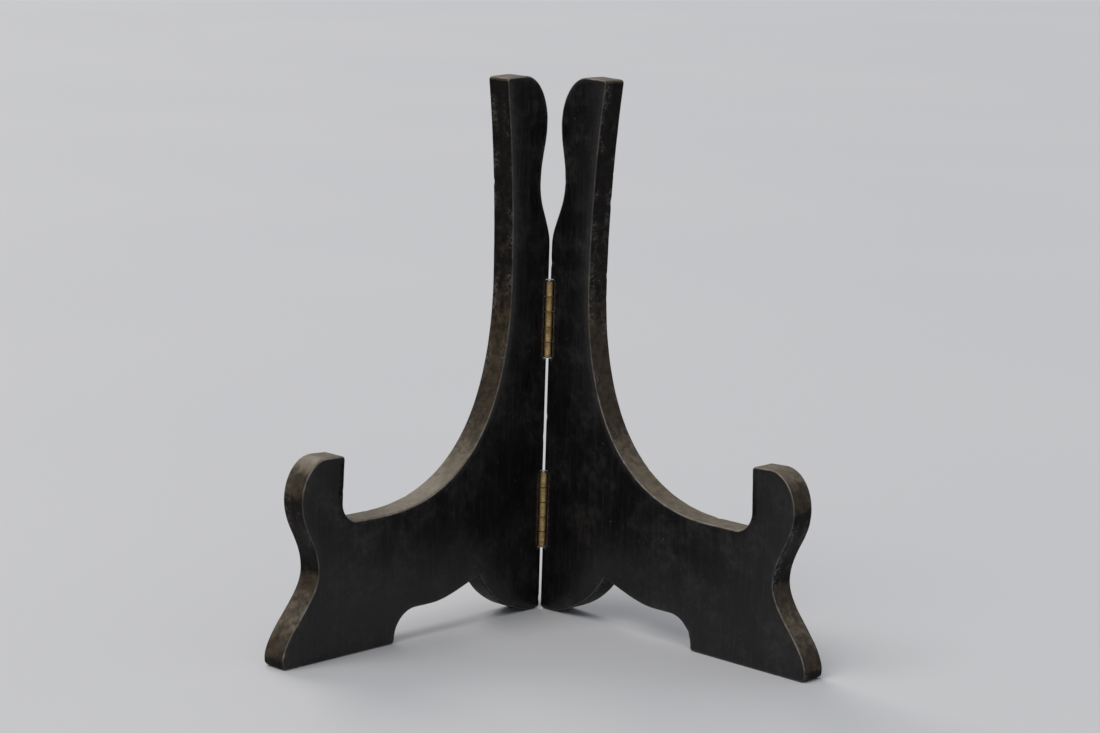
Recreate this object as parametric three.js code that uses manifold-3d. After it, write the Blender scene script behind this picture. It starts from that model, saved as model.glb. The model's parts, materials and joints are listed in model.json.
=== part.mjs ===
// A folding plate display stand: two matching wooden side panels, cut to one scrolled outline and joined
// behind by two small brass butt hinges, so that they open to a V and fold flat together.
//
// Millimetres, +Z up, the front (where the plate faces) towards -Y. The origin is on the floor, in the
// middle of the stand's bounding box, with the panels standing open at OPENING.
import * as THREE from "three";
import { mergeVertices } from "three/addons/utils/BufferGeometryUtils.js";
import Module from "manifold-3d";

const wasm = await Module();
wasm.setup();

// ---- Driving dimensions -------------------------------------------------------------------------------

const OPENING = THREE.MathUtils.degToRad(90); // angle between the two panels
const THICKNESS = 9; // each panel
const EASED_EDGE = 0.4; // chamfer round both faces of a panel
const FACE_GAP = 0.1; // from the hinge axis plane to a panel's inner face, so that the panels fold flat
const CORNER_RADIUS = 1.2; // of the outline's crisp corners, larger than EASED_EDGE
const REAR_EDGE = 0.25; // from the hinge axis to a panel's rear edge

// Panel outline, as distance forward from the hinge axis and height above the floor.
const STAND_HEIGHT = 178;
const HEEL_FLAT = 5; // the heel rests on the floor up to here
const HEEL_RADIUS = 33;
const CUSP = { x: 28.5, z: 16 }; // the pointed notch between the heel and the apron
const APRON = { x: 50, z: 10.3 }; // where the apron turns level
const APRON_END = 57;
const ARCH_RADIUS = 9; // from the apron down to the front foot
const TOE = 113;
const TOE_HEIGHT = 3.5;
const TOE_RADIUS = 2;
const WAIST = { x: 98.8, z: 28.5 };
const BELLY = { x: 106, z: 51.5 };
const HORN_TOP = 64.5;
const HORN_WIDTH = 17.1; // from the belly back to the rim groove
const HORN_ROUND = 10.5; // length of the rounded shoulder of the horn
const HORN_LEAN = 0.5; // of the tip towards the plate
const TIP_DROP = 0.3;
const LEDGE = 42.8; // height of the flat ledge that carries the plate
const LEDGE_REAR = 71;
const GROOVE_RADIUS = 6.5;
const ARM_WIDTH = 17.5; // the narrowest part of the arm's plate side, from the hinge axis
const ARM_UPRIGHT = 112; // height at which the sweep from the ledge turns upright
const REAR_EDGE_TOP = 122; // the rear edge is straight up to here
const ARM_NECK = { x: 5, z: 143 };
const ARM_BACK = { x: 2.6, z: 162.5 }; // the arm's rounded head bulges back to here
const ARM_TIP = 21.8; // the plate leans on this
const ARM_ROUND = 10.5; // length of the rounded top of the arm

// The outline's free curves: how far each heads on as it leaves one point, and before it arrives at the next.
const CURVES = {
  apron: { leave: [7.5, -2.4], arrive: [7, 0] },
  toe: { leave: [-1.5, 9], arrive: [0, 8.5] },
  waist: { leave: [0, 9.5], arrive: [0, 9] },
  horn: { leave: [0, 7.2], arrive: [-6, 0] },
  sweep: { leave: [-25, 0], arrive: [0, 55.2] },
  arm: { leave: [0, 25], arrive: [2.5, 18] },
  head: { leave: [-6, 0], arrive: [0, -8] },
  back: { leave: [0, -8], arrive: [0, -9] },
  neck: { leave: [0, -9], arrive: [0, -9] },
};

// Hinges
const HINGE_HEIGHTS = { lower: 34, upper: 98 };
const HINGE_LENGTH = 25;
const KNUCKLES = 5;
const KNUCKLE_GAP = 0.2;
const BARREL_RADIUS = 1.7;
const PIN_RADIUS = 0.75;
const PIN_CLEARANCE = 0.06;
const PIN_HEAD = { radius: 1.4, height: 0.5, gap: 0.05 }; // gap is from the end knuckle to the head
const PIN_HEAD_STEPS = 4; // round its dome
const LEAF_THICKNESS = 1;
const LEAF_REACH = 7.6; // from the hinge axis to the leaf's outer edge
const LEAF_CLEARANCE = 0.15; // round a leaf in its recess
const BARREL_CLEARANCE = 0.35; // round the barrel
const PIN_END_CLEARANCE = 0.25; // beyond the heads of the pin

// Countersunk slotted wood screws
const SCREW_SPACING = 13;
const SCREW_LENGTH = 9;
const SCREW_HEAD_RADIUS = 1.7;
const SCREW_SHANK_RADIUS = 0.85;
const SCREW_TAPER = { start: 4, end: 6.8, radius: 0.68 }; // then the screw runs to its point
const SCREW_FLUSH = 0.03; // how far the head lies below the leaf's face
const SCREW_RIM = 0.15; // height of the head's nearly straight rim
const SCREW_CLEARANCE = 0.12;
const PILOT_TIP = 1.2; // length of the drill's point
const SLOT = { width: 0.5, depth: 0.45 };

const TURN_PER_POINT = THREE.MathUtils.degToRad(3); // how finely a curve is cut into straight pieces
const SHORTEST_PIECE = 0.4;
const LONGEST_PIECE = 4;
const ROUND_SEGMENTS = 24;
const SCREW_SEGMENTS = 16;
const BARREL_SEGMENTS = 32;

const lacquer = new THREE.MeshStandardMaterial({ color: 0x15120f, roughness: 0.42, metalness: 0 });
const brass = new THREE.MeshStandardMaterial({ color: 0xa8823f, roughness: 0.38, metalness: 1 });
const steel = new THREE.MeshStandardMaterial({ color: 0x9a9a96, roughness: 0.35, metalness: 1 });

// ---- Solids -------------------------------------------------------------------------------------------

// A closed three.js geometry as a manifold-3d solid.
function toSolid(geometry) {
  const bare = geometry.index ? geometry.toNonIndexed() : geometry.clone();
  bare.deleteAttribute("normal");
  bare.deleteAttribute("uv");
  const merged = mergeVertices(bare, 1e-4);
  return new wasm.Manifold(
    new wasm.Mesh({
      numProp: 3,
      vertProperties: new Float32Array(merged.attributes.position.array),
      triVerts: new Uint32Array(merged.index.array),
    }),
  );
}

// A manifold-3d solid as a three.js geometry with flat faces.
function toGeometry(solid) {
  const mesh = solid.getMesh();
  const geometry = new THREE.BufferGeometry();
  geometry.setAttribute("position", new THREE.BufferAttribute(new Float32Array(mesh.vertProperties), 3));
  geometry.setIndex(new THREE.BufferAttribute(new Uint32Array(mesh.triVerts), 1));
  const flat = geometry.toNonIndexed();
  flat.computeVertexNormals();
  return flat;
}

// A box between two corners.
function boxSolid(x, y, z) {
  const box = new THREE.BoxGeometry(x[1] - x[0], Math.abs(y[1] - y[0]), z[1] - z[0]);
  box.translate((x[0] + x[1]) / 2, (y[0] + y[1]) / 2, (z[0] + z[1]) / 2);
  return toSolid(box);
}

// An upright cylinder on the hinge axis.
function barrelSolid(radius, bottom, top, segments) {
  const cylinder = new THREE.CylinderGeometry(radius, radius, top - bottom, segments);
  cylinder.rotateX(Math.PI / 2);
  cylinder.translate(0, 0, (bottom + top) / 2);
  return toSolid(cylinder);
}

// A turned solid whose axis runs forward along +X from the panel's rear edge. profile holds [radius, depth]
// pairs from the outside in, and starts and ends on the axis.
function turnedForward(profile, y, z, segments) {
  const points = profile.map(([radius, depth]) => new THREE.Vector2(radius, -depth));
  const lathe = new THREE.LatheGeometry(points.reverse(), segments);
  lathe.rotateZ(Math.PI / 2);
  lathe.translate(REAR_EDGE, y, z);
  return toSolid(lathe);
}

// ---- Side panels --------------------------------------------------------------------------------------

// Carries an outline on to a point along one of CURVES.
function curveTo(shape, { leave, arrive }, x, z) {
  const start = shape.currentPoint;
  shape.bezierCurveTo(start.x + leave[0], start.y + leave[1], x - arrive[0], z - arrive[1], x, z);
}

// The scrolled outline, counterclockwise from the bottom of the rear edge.
function panelOutline() {
  const shape = new THREE.Shape();
  const heelCentre = Math.sqrt(HEEL_RADIUS ** 2 - HEEL_FLAT ** 2);
  const cuspAngle = Math.asin(CUSP.x / HEEL_RADIUS);
  shape.moveTo(REAR_EDGE, CORNER_RADIUS);
  shape.absarc(REAR_EDGE + CORNER_RADIUS, CORNER_RADIUS, CORNER_RADIUS, Math.PI, Math.PI * 1.5, false);
  shape.lineTo(HEEL_FLAT, 0);
  const heelStart = Math.asin(HEEL_FLAT / HEEL_RADIUS) - Math.PI / 2;
  shape.absarc(0, heelCentre, HEEL_RADIUS, heelStart, cuspAngle - Math.PI / 2, false);

  // Apron, from the cusp to the arch of the front foot.
  curveTo(shape, CURVES.apron, APRON.x, APRON.z);
  shape.lineTo(APRON_END, APRON.z);
  shape.absarc(APRON_END, APRON.z - ARCH_RADIUS, ARCH_RADIUS, Math.PI / 2, 0, true);

  // Front foot, with a short rounded toe that flares out from the waist.
  const footRear = APRON_END + ARCH_RADIUS;
  shape.lineTo(footRear, CORNER_RADIUS);
  shape.absarc(footRear + CORNER_RADIUS, CORNER_RADIUS, CORNER_RADIUS, Math.PI, Math.PI * 1.5, false);
  shape.lineTo(TOE - TOE_RADIUS, 0);
  shape.absarc(TOE - TOE_RADIUS, TOE_RADIUS, TOE_RADIUS, -Math.PI / 2, 0, false);
  shape.lineTo(TOE, TOE_HEIGHT);
  curveTo(shape, CURVES.toe, WAIST.x, WAIST.z);

  // Horn in front of the plate: waist, belly, rounded shoulder and a crisp tip.
  const grooveFront = BELLY.x - HORN_WIDTH;
  const hornTip = { x: grooveFront - HORN_LEAN + CORNER_RADIUS, z: HORN_TOP - TIP_DROP - CORNER_RADIUS };
  curveTo(shape, CURVES.waist, BELLY.x, BELLY.z);
  curveTo(shape, CURVES.horn, BELLY.x - HORN_ROUND, HORN_TOP);
  shape.lineTo(hornTip.x, hornTip.z + CORNER_RADIUS);
  shape.absarc(hornTip.x, hornTip.z, CORNER_RADIUS, Math.PI / 2, Math.PI, false);

  // Groove that takes the plate's rim, then the ledge.
  shape.lineTo(grooveFront, LEDGE + GROOVE_RADIUS);
  shape.absarc(grooveFront - GROOVE_RADIUS, LEDGE + GROOVE_RADIUS, GROOVE_RADIUS, 0, -Math.PI / 2, true);
  shape.lineTo(LEDGE_REAR, LEDGE);

  // Sweep up into the arm, which leans a little forward to its tip behind the plate.
  curveTo(shape, CURVES.sweep, ARM_WIDTH, ARM_UPRIGHT);
  const armTip = { x: ARM_TIP - CORNER_RADIUS, z: STAND_HEIGHT - TIP_DROP - CORNER_RADIUS };
  curveTo(shape, CURVES.arm, ARM_TIP, armTip.z);
  shape.absarc(armTip.x, armTip.z, CORNER_RADIUS, 0, Math.PI / 2, false);

  // Rounded head and neck at the back of the arm, down to the straight rear edge.
  shape.lineTo(ARM_BACK.x + ARM_ROUND, STAND_HEIGHT);
  curveTo(shape, CURVES.head, ARM_BACK.x, ARM_BACK.z);
  curveTo(shape, CURVES.back, ARM_NECK.x, ARM_NECK.z);
  curveTo(shape, CURVES.neck, REAR_EDGE, REAR_EDGE_TOP);
  shape.lineTo(REAR_EDGE, CORNER_RADIUS);
  return shape;
}

// The outline as points, evenly spaced along each curve. A piece turns through TURN_PER_POINT at most and is
// no longer than LONGEST_PIECE, but it is never shorter than SHORTEST_PIECE. A straight line is one piece.
function outlinePoints(shape) {
  const samples = 40;
  const points = [];
  for (const curve of shape.curves) {
    const length = curve.getLength();
    if (length < SHORTEST_PIECE / 10) continue;
    let turn = 0;
    for (let i = 0; i < samples; i++) {
      const here = curve.getTangent(i / samples);
      const next = curve.getTangent((i + 1) / samples);
      turn += Math.acos(THREE.MathUtils.clamp(here.dot(next), -1, 1));
    }
    const fewest = turn > 0 ? Math.ceil(length / LONGEST_PIECE) : 1;
    const most = Math.ceil(length / SHORTEST_PIECE);
    const pieces = Math.min(Math.max(fewest, Math.ceil(turn / TURN_PER_POINT)), most);
    for (let i = 0; i < pieces; i++) points.push(curve.getPointAt(i / pieces));
  }
  return points;
}

// A hinge leaf's recess in the rear edge, with room for the barrel and the heads of its pin.
function hingeRecess(height, side) {
  const half = HINGE_LENGTH / 2 + LEAF_CLEARANCE;
  const barrelHalf = HINGE_LENGTH / 2 + PIN_HEAD.gap + PIN_HEAD.height + PIN_END_CLEARANCE;
  const seat = boxSolid(
    [-1, REAR_EDGE + LEAF_THICKNESS + LEAF_CLEARANCE],
    [-side, side * (LEAF_REACH + LEAF_CLEARANCE)],
    [height - half, height + half],
  );
  const relief = barrelSolid(
    BARREL_RADIUS + BARREL_CLEARANCE,
    height - barrelHalf,
    height + barrelHalf,
    BARREL_SEGMENTS,
  );
  return seat.add(relief);
}

// The pilot hole of a screw, a little wider and deeper than its shank.
function pilotHole(y, z) {
  const radius = SCREW_SHANK_RADIUS + SCREW_CLEARANCE;
  const depth = SCREW_LENGTH + 0.5;
  const profile = [[0, 0], [radius, 0], [radius, depth - PILOT_TIP], [0, depth]];
  return turnedForward(profile, y, z, SCREW_SEGMENTS);
}

// One side panel in its own frame: +X forward from the hinge axis, +Z up, outer face towards side * Y.
function panel(side) {
  const board = new THREE.ExtrudeGeometry(new THREE.Shape(outlinePoints(panelOutline())), {
    depth: THICKNESS - 2 * EASED_EDGE,
    bevelThickness: EASED_EDGE,
    bevelSize: EASED_EDGE,
    bevelOffset: -EASED_EDGE,
    bevelSegments: 1,
  });
  board.translate(0, 0, EASED_EDGE - THICKNESS / 2);
  board.rotateX(Math.PI / 2);
  board.translate(0, side * (THICKNESS / 2 + FACE_GAP), 0);
  let solid = toSolid(board);
  for (const height of Object.values(HINGE_HEIGHTS)) {
    solid = solid.subtract(hingeRecess(height, side));
    for (const end of [-1, 1]) {
      solid = solid.subtract(pilotHole(side * SCREW_Y, height + (end * SCREW_SPACING) / 2));
    }
  }
  return toGeometry(solid);
}

// ---- Hinges -------------------------------------------------------------------------------------------

const KNUCKLE_LENGTH = HINGE_LENGTH / KNUCKLES;
const PLATE_START = BARREL_RADIUS + BARREL_CLEARANCE; // where a leaf's flat plate clears the other knuckles
const SCREW_Y = (PLATE_START + LEAF_REACH) / 2;
const SCREW_NECK = LEAF_THICKNESS - 0.1; // where the head's cone meets the shank

// A hinge leaf in its panel's frame. Its knuckles are the even or the odd ones, counted from the bottom.
function hingeLeaf(height, side, firstKnuckle) {
  const bottom = height - HINGE_LENGTH / 2;
  const thickness = [REAR_EDGE, REAR_EDGE + LEAF_THICKNESS];
  let solid = boxSolid(thickness, [side * PLATE_START, side * LEAF_REACH], [bottom, bottom + HINGE_LENGTH]);
  for (let i = firstKnuckle; i < KNUCKLES; i += 2) {
    const low = bottom + i * KNUCKLE_LENGTH + (i > 0 ? KNUCKLE_GAP / 2 : 0);
    const high = bottom + (i + 1) * KNUCKLE_LENGTH - (i < KNUCKLES - 1 ? KNUCKLE_GAP / 2 : 0);
    solid = solid
      .add(boxSolid(thickness, [0, side * (PLATE_START + 0.1)], [low, high]))
      .add(barrelSolid(BARREL_RADIUS, low, high, BARREL_SEGMENTS));
  }
  solid = solid.subtract(
    barrelSolid(PIN_RADIUS + PIN_CLEARANCE, bottom - 1, bottom + HINGE_LENGTH + 1, ROUND_SEGMENTS),
  );
  const mouth = SCREW_HEAD_RADIUS + SCREW_CLEARANCE;
  const throat = SCREW_SHANK_RADIUS + SCREW_CLEARANCE;
  const countersink = [
    [0, -0.5],
    [mouth, -0.5],
    [mouth, 0],
    [throat, SCREW_NECK],
    [throat, LEAF_THICKNESS + 1],
    [0, LEAF_THICKNESS + 1],
  ];
  for (const end of [-1, 1]) {
    const z = height + (end * SCREW_SPACING) / 2;
    solid = solid.subtract(turnedForward(countersink, side * SCREW_Y, z, SCREW_SEGMENTS));
  }
  return toGeometry(solid);
}

// A hinge pin with a low domed head at each end.
function hingePin() {
  const half = HINGE_LENGTH / 2 + PIN_HEAD.gap;
  const head = [new THREE.Vector2(PIN_RADIUS, half)];
  for (let i = 0; i <= PIN_HEAD_STEPS; i++) {
    const angle = ((Math.PI / 2) * i) / PIN_HEAD_STEPS;
    head.push(new THREE.Vector2(PIN_HEAD.radius * Math.cos(angle), half + PIN_HEAD.height * Math.sin(angle)));
  }
  const foot = head.map(({ x, y }) => new THREE.Vector2(x, -y)).reverse();
  const pin = new THREE.LatheGeometry([...foot, ...head], ROUND_SEGMENTS);
  pin.rotateX(Math.PI / 2);
  return toGeometry(toSolid(pin));
}

// A countersunk slotted wood screw, its head flush with the leaf.
function screw(y, z) {
  const profile = [
    [0, SCREW_FLUSH],
    [SCREW_HEAD_RADIUS, SCREW_FLUSH],
    [SCREW_HEAD_RADIUS - 0.05, SCREW_FLUSH + SCREW_RIM],
    [SCREW_SHANK_RADIUS, SCREW_NECK],
    [SCREW_SHANK_RADIUS, SCREW_TAPER.start],
    [SCREW_TAPER.radius, SCREW_TAPER.end],
    [0, SCREW_LENGTH],
  ];
  const slot = boxSolid(
    [REAR_EDGE - 1, REAR_EDGE + SCREW_FLUSH + SLOT.depth],
    [y - SCREW_HEAD_RADIUS - 1, y + SCREW_HEAD_RADIUS + 1],
    [z - SLOT.width / 2, z + SLOT.width / 2],
  );
  return toGeometry(turnedForward(profile, y, z, SCREW_SEGMENTS).subtract(slot));
}

// ---- Assembly -----------------------------------------------------------------------------------------

function addMesh(parent, name, geometry, material) {
  const mesh = new THREE.Mesh(geometry, material);
  mesh.name = name;
  parent.add(mesh);
  return mesh;
}

// One half of the stand: a panel with the hinge leaves and screws fixed to it.
function halfStand(name, side, firstKnuckle) {
  const half = new THREE.Group();
  addMesh(half, `${name}_panel`, panel(side), lacquer);
  for (const [which, height] of Object.entries(HINGE_HEIGHTS)) {
    addMesh(half, `${which}_hinge_${name}_leaf`, hingeLeaf(height, side, firstKnuckle), brass);
    for (const [end, sign] of [["bottom", -1], ["top", 1]]) {
      const z = height + (sign * SCREW_SPACING) / 2;
      addMesh(half, `${which}_hinge_${name}_screw_${end}`, screw(side * SCREW_Y, z), brass);
    }
  }
  // A panel at zero points forward, along -Y, and opens away from the middle by half of OPENING.
  half.rotation.z = -Math.PI / 2 + (side * OPENING) / 2;
  return half;
}

const stand = new THREE.Group();
stand.add(halfStand("left", -1, 0));
stand.add(halfStand("right", 1, 1));
for (const [which, height] of Object.entries(HINGE_HEIGHTS)) {
  addMesh(stand, `${which}_hinge_pin`, hingePin(), steel).position.z = height;
}

// The stand is built round the hinge axis, then moved forward so that the origin is in its middle.
const box = new THREE.Box3().setFromObject(stand, true);
stand.position.y = -(box.min.y + box.max.y) / 2;

const plateStand = new THREE.Group();
plateStand.add(stand);

export default plateStand;
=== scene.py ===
"""A folding plate display stand: two black lacquered wooden panels joined by small brass butt hinges.

Lengths are in millimetres until a mesh becomes a piece. A piece is built in its panel's own frame: x runs
forward from the hinge axis, y points across the panel towards its outer face, and z is up.
"""

import json
import math
from types import SimpleNamespace

import bmesh
import bpy
import numpy as np
from mathutils import Matrix, Quaternion, Vector, noise
from mathutils.geometry import delaunay_2d_cdt

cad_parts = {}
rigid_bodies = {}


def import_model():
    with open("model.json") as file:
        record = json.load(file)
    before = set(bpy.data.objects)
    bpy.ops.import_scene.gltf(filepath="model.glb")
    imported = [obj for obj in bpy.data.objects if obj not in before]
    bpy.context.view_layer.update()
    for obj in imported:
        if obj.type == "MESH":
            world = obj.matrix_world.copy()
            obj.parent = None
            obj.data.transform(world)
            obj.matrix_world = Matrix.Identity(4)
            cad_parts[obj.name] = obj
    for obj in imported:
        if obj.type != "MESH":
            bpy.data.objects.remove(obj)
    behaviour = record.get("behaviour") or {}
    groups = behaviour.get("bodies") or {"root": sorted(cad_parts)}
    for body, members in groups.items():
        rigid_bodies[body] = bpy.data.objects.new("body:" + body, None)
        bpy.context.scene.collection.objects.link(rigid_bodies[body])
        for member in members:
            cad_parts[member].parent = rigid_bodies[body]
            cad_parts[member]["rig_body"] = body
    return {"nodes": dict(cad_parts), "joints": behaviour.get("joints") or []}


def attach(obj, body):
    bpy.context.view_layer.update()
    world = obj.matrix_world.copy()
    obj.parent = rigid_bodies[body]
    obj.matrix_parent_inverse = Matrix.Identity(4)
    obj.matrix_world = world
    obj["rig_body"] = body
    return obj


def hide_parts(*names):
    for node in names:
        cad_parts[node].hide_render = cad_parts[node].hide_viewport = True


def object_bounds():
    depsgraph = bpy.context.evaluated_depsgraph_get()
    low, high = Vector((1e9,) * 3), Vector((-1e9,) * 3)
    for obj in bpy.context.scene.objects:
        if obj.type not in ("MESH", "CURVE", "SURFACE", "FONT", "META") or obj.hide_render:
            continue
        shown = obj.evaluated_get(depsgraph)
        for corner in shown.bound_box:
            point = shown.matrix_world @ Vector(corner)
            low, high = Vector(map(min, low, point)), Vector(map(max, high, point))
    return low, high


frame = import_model()
CAD_BOX = [list(corner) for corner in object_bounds()]

MM = 0.001
SIDES = {"left": -1, "right": 1}
HINGES = ("lower", "upper")
SCREW_ENDS = ("bottom", "top")
FOLD = frame["joints"][0]
HINGE_AXIS = Vector(FOLD["pos_m"])
HALF_OPENING = math.radians(-FOLD["range_deg"][0]) / 2  # at the lower limit the stand is folded flat
CREASE = math.radians(35)  # edges that turn by more than this are shaded sharp

# ---- From the shared frame to a panel's own frame, and back --------------------------------------------


def panel_frame(side):
    """From a panel's own frame, in metres, to the shared frame."""
    turn = -math.pi / 2 + side * HALF_OPENING
    return Matrix.Translation(HINGE_AXIS) @ Matrix.Rotation(turn, 4, "Z")


def node_points(node, side):
    """A CAD node's vertices in millimetres in its panel's frame, with y positive on the outer side."""
    to_panel = np.array(panel_frame(side).inverted())
    mesh = frame["nodes"][node].data
    points = np.empty(len(mesh.vertices) * 3)
    mesh.vertices.foreach_get("co", points)
    points = points.reshape(-1, 3) @ to_panel[:3, :3].T + to_panel[:3, 3]
    return points / MM * (1, side, 1)


def extent(node, side):
    """A CAD node's lowest and highest corner in its panel's frame."""
    points = node_points(node, side)
    return Vector(points.min(axis=0)), Vector(points.max(axis=0))


def add_piece(bm, side, node, material):
    """A mesh built in a panel's frame, in millimetres, becomes the piece that stands for a CAD node."""
    in_place = panel_frame(side) @ Matrix.Diagonal((MM, side * MM, MM, 1))
    bmesh.ops.transform(bm, matrix=in_place, verts=bm.verts)
    if side < 0:
        bmesh.ops.reverse_faces(bm, faces=bm.faces)
    name = f"{node}_look"
    mesh = bpy.data.meshes.new(name)
    bm.to_mesh(mesh)
    bm.free()
    mesh.shade_smooth()
    mesh.set_sharp_from_angle(angle=CREASE)
    mesh.materials.append(material)
    piece = bpy.data.objects.new(name, mesh)
    bpy.context.scene.collection.objects.link(piece)
    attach(piece, frame["nodes"][node]["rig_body"])
    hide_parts(node)
    return piece


# ---- Solids --------------------------------------------------------------------------------------------

FORWARD = Matrix.Rotation(math.pi / 2, 4, "Y")  # turns +Z to +X


def arc(radius, start, end, steps):
    return [(radius * math.cos(a), radius * math.sin(a)) for a in np.linspace(start, end, steps)]


def turned(profile, segments, place, radius_at=None):
    """A turned solid. profile holds (radius, height) pairs along its axis, and place moves it from +Z.

    radius_at(radius, height, angle), when given, changes the radius round the axis, such as for a thread.
    """
    bm = bmesh.new()
    rings = []
    for radius, height in profile:
        if radius == 0:
            rings.append([bm.verts.new((0, 0, height))])
            continue
        ring = []
        for k in range(segments):
            angle = 2 * math.pi * k / segments
            r = radius_at(radius, height, angle) if radius_at else radius
            ring.append(bm.verts.new((r * math.cos(angle), r * math.sin(angle), height)))
        rings.append(ring)
    for low, high in zip(rings, rings[1:]):
        for k in range(segments):
            # A ring on the axis is a single vertex, and its repeats drop out.
            quad = [low[k % len(low)], low[(k + 1) % len(low)]]
            quad += [high[(k + 1) % len(high)], high[k % len(high)]]
            bm.faces.new(list(dict.fromkeys(quad)))
    bmesh.ops.transform(bm, matrix=place, verts=bm.verts)
    bmesh.ops.recalc_face_normals(bm, faces=bm.faces)
    return bm


def inward_normals(outline):
    """Unit offsets into a counterclockwise outline, mitred at its corners."""
    ahead = np.roll(outline, -1, axis=0) - outline
    ahead /= np.linalg.norm(ahead, axis=1, keepdims=True)
    middle = ahead + np.roll(ahead, 1, axis=0)
    middle /= np.linalg.norm(middle, axis=1, keepdims=True)
    mitre = np.sum(middle * ahead, axis=1, keepdims=True)
    return np.column_stack([-middle[:, 1], middle[:, 0]]) / mitre


def prism(outline, low, high, ease, place=Matrix.Identity(4)):
    """A counterclockwise outline in x and y, drawn up from low to high, with the edges of its ends eased."""
    bm = bmesh.new()
    outline = np.array(outline)
    inward = inward_normals(outline)
    round_point = 0.3 * ease
    levels = [(ease, low), (round_point, low + round_point), (0, low + ease)]
    levels += [(inset, low + high - height) for inset, height in reversed(levels)]
    rings = [[bm.verts.new((x, y, height)) for x, y in outline + inward * inset] for inset, height in levels]
    for lower, upper in zip(rings, rings[1:]):
        for k in range(len(lower)):
            bm.faces.new((lower[k - 1], lower[k], upper[k], upper[k - 1]))
    bm.faces.new(rings[0])
    bm.faces.new(rings[-1])
    bmesh.ops.transform(bm, matrix=place, verts=bm.verts)
    bmesh.ops.recalc_face_normals(bm, faces=bm.faces)
    return bm


def block(x, y, z):
    """A box between two corners, for cutting."""
    bm = bmesh.new()
    bmesh.ops.create_cube(bm, size=1)
    bmesh.ops.scale(bm, vec=(x[1] - x[0], y[1] - y[0], z[1] - z[0]), verts=bm.verts)
    middle = ((x[0] + x[1]) / 2, (y[0] + y[1]) / 2, (z[0] + z[1]) / 2)
    bmesh.ops.translate(bm, vec=middle, verts=bm.verts)
    return bm


def together(parts):
    """Separate solids as one mesh, so that one boolean can use them all."""
    joined = bmesh.new()
    for part in parts:
        mesh = bpy.data.meshes.new("part")
        part.to_mesh(mesh)
        part.free()
        joined.from_mesh(mesh)
        bpy.data.meshes.remove(mesh)
    return joined


def boolean(bm, tool, operation):
    """bm joined with tool (UNION) or cut by it (DIFFERENCE). Both are used up."""
    pair = []
    for source in (bm, tool):
        mesh = bpy.data.meshes.new("boolean")
        source.to_mesh(mesh)
        source.free()
        pair.append(bpy.data.objects.new("boolean", mesh))
        bpy.context.scene.collection.objects.link(pair[-1])
    modifier = pair[0].modifiers.new("boolean", "BOOLEAN")
    modifier.operation = operation
    modifier.solver = "EXACT"
    modifier.object = pair[1]
    result = bmesh.new()
    result.from_object(pair[0], bpy.context.evaluated_depsgraph_get())
    for obj in pair:
        mesh = obj.data
        bpy.data.objects.remove(obj)
        bpy.data.meshes.remove(mesh)
    return result


# ---- Node helpers --------------------------------------------------------------------------------------


def new_material(name):
    """A material, its node tree, and the Principled BSDF in it."""
    material = bpy.data.materials.new(name)
    material.use_nodes = True
    tree = material.node_tree
    return material, tree, tree.nodes["Principled BSDF"]


def connect(tree, value, socket):
    if isinstance(value, bpy.types.NodeSocket):
        tree.links.new(value, socket)
    else:
        socket.default_value = value


def set_inputs(tree, node, inputs):
    """Gives each of a node's inputs a value, or another node's output to link from."""
    for key, value in inputs.items():
        connect(tree, value, node.inputs[key])


def add_node(tree, kind, inputs, **settings):
    made = tree.nodes.new(kind)
    for key, value in settings.items():
        setattr(made, key, value)
    set_inputs(tree, made, inputs)
    return made


def object_coordinates(tree, offset, scale=(1, 1, 1), lean=0):
    """Object coordinates in millimetres, leaned about X, multiplied by scale and shifted by offset.

    A scale below 1 draws a pattern out along that axis.
    """
    place = add_node(tree, "ShaderNodeTexCoord", {}).outputs["Object"]
    inputs = {"Vector": place, "Location": offset, "Scale": tuple(s / MM for s in scale)}
    if lean:
        leaned = {"Vector": place, "Rotation": (math.radians(lean), 0, 0)}
        inputs["Vector"] = add_node(tree, "ShaderNodeMapping", leaned).outputs["Vector"]
    return add_node(tree, "ShaderNodeMapping", inputs).outputs["Vector"]


def grain_noise(tree, vector, size, detail=2, roughness=0.5):
    """Noise from 0 to 1 with features of about size millimetres."""
    inputs = {"Vector": vector, "Scale": 1 / size, "Detail": detail, "Roughness": roughness}
    return add_node(tree, "ShaderNodeTexNoise", inputs).outputs["Fac"]


def ranged(tree, value, low, high, to_low=0.0, to_high=1.0):
    """value, eased from to_low where it is low to to_high where it is high."""
    inputs = {0: value, 1: low, 2: high, 3: to_low, 4: to_high}
    return add_node(tree, "ShaderNodeMapRange", inputs, interpolation_type="SMOOTHSTEP").outputs[0]


def combined(tree, operation, a, b):
    return add_node(tree, "ShaderNodeMath", {0: a, 1: b}, operation=operation).outputs[0]


def times(tree, a, b):
    return combined(tree, "MULTIPLY", a, b)


def mixed(tree, factor, a, b):
    """Colour a where factor is 0, and colour b where it is 1."""
    made = tree.nodes.new("ShaderNodeMix")
    made.data_type = "RGBA"
    factor_socket, a_socket, b_socket = (made.inputs[k] for k in (0, 6, 7))
    connect(tree, factor, factor_socket)
    connect(tree, a, a_socket)
    connect(tree, b, b_socket)
    return made.outputs[2]


def colour(red, green, blue):
    return (red, green, blue, 1)


def bumps(tree, layers):
    """Bumps laid over each other. layers holds (height, depth in millimetres) pairs."""
    normal = None
    for height, depth in layers:
        inputs = {"Height": height, "Distance": depth * MM, "Strength": 1}
        if normal:
            inputs["Normal"] = normal
        normal = add_node(tree, "ShaderNodeBump", inputs).outputs["Normal"]
    return normal


# ---- Materials -----------------------------------------------------------------------------------------

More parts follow.
